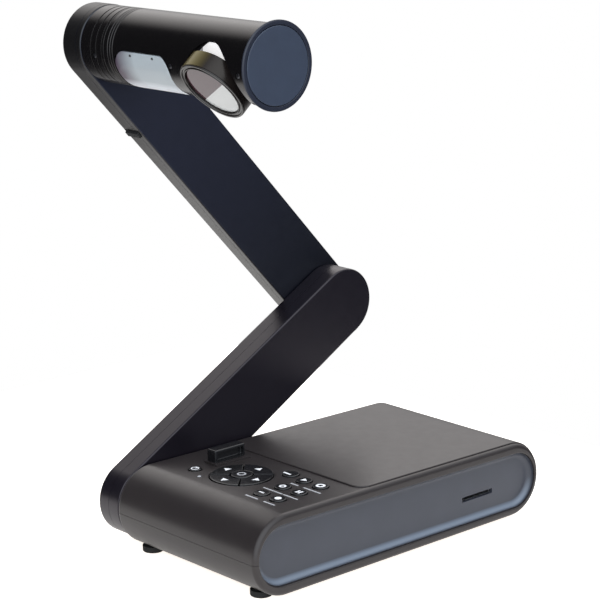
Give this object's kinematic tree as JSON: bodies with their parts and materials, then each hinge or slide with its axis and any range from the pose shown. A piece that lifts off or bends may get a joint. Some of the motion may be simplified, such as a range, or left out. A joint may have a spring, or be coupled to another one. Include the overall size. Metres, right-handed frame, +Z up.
{
  "type": "document camera",
  "caption": "Folding document camera: flat base with a keypad and a card slot, two flat arms folding beside it, and a tube head with a light window and a round lens unit",
  "frame": {"origin": "middle of the whole object's box at rest, on the plane the feet stand on", "axes": "+Z up; +Y from the user's end of the base, which holds the keypad, to its rear end; +X from the folding arms to the side with the card slot"},
  "size_m": [0.1764, 0.2556, 0.3502],
  "materials": {
    "housing": "satin dark grey moulded plastic",
    "panel": "smooth blue-grey plastic with a soft sheen",
    "arm": "satin near-black plastic",
    "head": "semi-gloss black plastic",
    "cap": "satin slate-blue plastic",
    "key": "semi-gloss black keys with printed marks",
    "rubber": "matt black rubber",
    "steel": "plain steel",
    "board": "green circuit board",
    "socket": "dull black plastic",
    "white": "white plastic",
    "window": "frosted light cover, pale blue-white",
    "lens_glass": "coated glass, mauve reflection",
    "lens_ring": "dark brown anodised-look ring"
  },
  "bodies": {
    "base": {"base_top": "housing", "base_bottom": "housing", "rear_cover": "housing", "side_panel": "panel", "rest_block": "head", "socket_plate": "socket", "card_socket": "steel", "video_socket": "steel", "usb_socket": "steel", "power_socket": "socket", "foot_1": "rubber", "foot_2": "rubber", "foot_3": "rubber", "foot_4": "rubber", "keypad_board": "board", "main_board": "board", "status_light": "white", "hinge_axle": "steel", "hinge_washer": "steel", "hinge_nut": "steel"},
    "lower_arm": {"lower_arm_cover": "arm", "lower_arm_shell": "arm", "lower_arm_bumper": "rubber", "elbow_axle": "steel", "elbow_nut": "steel"},
    "upper_arm": {"upper_arm_cover": "arm", "upper_arm_shell": "arm", "upper_arm_bumper": "rubber", "head_collar": "head", "collar_screw": "steel", "head_axle": "steel", "head_nut": "steel"},
    "head": {"head_tube": "head", "head_screw_1": "steel", "head_screw_2": "steel", "light_window": "window", "light_board": "white", "end_cap_ring": "cap", "end_cap_disc": "cap", "lens_seat": "white"},
    "lens_unit": {"lens_barrel": "lens_ring", "lens_bezel": "lens_ring", "lens_glass": "lens_glass", "sensor_board": "board", "lens_cell": "head", "lens_element": "lens_glass", "lens_retainer": "steel"},
    "power_button": {"power_button": "key"},
    "menu_button": {"menu_button": "key"},
    "function_key_1": {"function_key_1": "key"},
    "function_key_2": {"function_key_2": "key"},
    "function_key_3": {"function_key_3": "key"},
    "function_key_4": {"function_key_4": "key"},
    "function_key_5": {"function_key_5": "key"},
    "function_key_6": {"function_key_6": "key"},
    "pad_left_button": {"pad_left_button": "key"},
    "pad_up_button": {"pad_up_button": "key"},
    "pad_right_button": {"pad_right_button": "key"},
    "pad_down_button": {"pad_down_button": "key"},
    "enter_button": {"enter_button": "key"}
  },
  "joints": [
    {"name": "base_hinge", "type": "hinge", "parent": "base", "child": "lower_arm", "pos_m": [-0.04875, -0.09616, 0.029], "axis": [1, 0, 0], "range_deg": [-29.8, 60.2]},
    {"name": "elbow_hinge", "type": "hinge", "parent": "lower_arm", "child": "upper_arm", "pos_m": [-0.06935, 0.07939, 0.12954], "axis": [-1, 0, 0], "range_deg": [-78, 72]},
    {"name": "head_swivel", "type": "hinge", "parent": "upper_arm", "child": "head", "pos_m": [-0.04605, -0.09438, 0.32388], "axis": [1, 0, 0], "range_deg": [-90, 25]},
    {"name": "lens_turn", "type": "hinge", "parent": "head", "child": "lens_unit", "pos_m": [0.0505, -0.09438, 0.32388], "axis": [0, -0.7547, -0.6561], "range_deg": [-90, 90]},
    {"name": "power_press", "type": "slide", "parent": "base", "child": "power_button", "axis": [0, 0, -1], "range_m": [0, 0.0009], "stiffness_N_per_m": 1200, "springref_m": -0.0003},
    {"name": "menu_press", "type": "slide", "parent": "base", "child": "menu_button", "axis": [0, 0, -1], "range_m": [0, 0.0009], "stiffness_N_per_m": 1200, "springref_m": -0.0003},
    {"name": "key_1_press", "type": "slide", "parent": "base", "child": "function_key_1", "axis": [0, 0, -1], "range_m": [0, 0.0009], "stiffness_N_per_m": 1200, "springref_m": -0.0003},
    {"name": "key_2_press", "type": "slide", "parent": "base", "child": "function_key_2", "axis": [0, 0, -1], "range_m": [0, 0.0009], "stiffness_N_per_m": 1200, "springref_m": -0.0003},
    {"name": "key_3_press", "type": "slide", "parent": "base", "child": "function_key_3", "axis": [0, 0, -1], "range_m": [0, 0.0009], "stiffness_N_per_m": 1200, "springref_m": -0.0003},
    {"name": "key_4_press", "type": "slide", "parent": "base", "child": "function_key_4", "axis": [0, 0, -1], "range_m": [0, 0.0009], "stiffness_N_per_m": 1200, "springref_m": -0.0003},
    {"name": "key_5_press", "type": "slide", "parent": "base", "child": "function_key_5", "axis": [0, 0, -1], "range_m": [0, 0.0009], "stiffness_N_per_m": 1200, "springref_m": -0.0003},
    {"name": "key_6_press", "type": "slide", "parent": "base", "child": "function_key_6", "axis": [0, 0, -1], "range_m": [0, 0.0009], "stiffness_N_per_m": 1200, "springref_m": -0.0003},
    {"name": "pad_left_press", "type": "slide", "parent": "base", "child": "pad_left_button", "axis": [0, 0, -1], "range_m": [0, 0.0009], "stiffness_N_per_m": 1200, "springref_m": -0.0003},
    {"name": "pad_up_press", "type": "slide", "parent": "base", "child": "pad_up_button", "axis": [0, 0, -1], "range_m": [0, 0.0009], "stiffness_N_per_m": 1200, "springref_m": -0.0003},
    {"name": "pad_right_press", "type": "slide", "parent": "base", "child": "pad_right_button", "axis": [0, 0, -1], "range_m": [0, 0.0009], "stiffness_N_per_m": 1200, "springref_m": -0.0003},
    {"name": "pad_down_press", "type": "slide", "parent": "base", "child": "pad_down_button", "axis": [0, 0, -1], "range_m": [0, 0.0009], "stiffness_N_per_m": 1200, "springref_m": -0.0003},
    {"name": "enter_press", "type": "slide", "parent": "base", "child": "enter_button", "axis": [0, 0, -1], "range_m": [0, 0.0009], "stiffness_N_per_m": 1200, "springref_m": -0.0003}
  ]
}
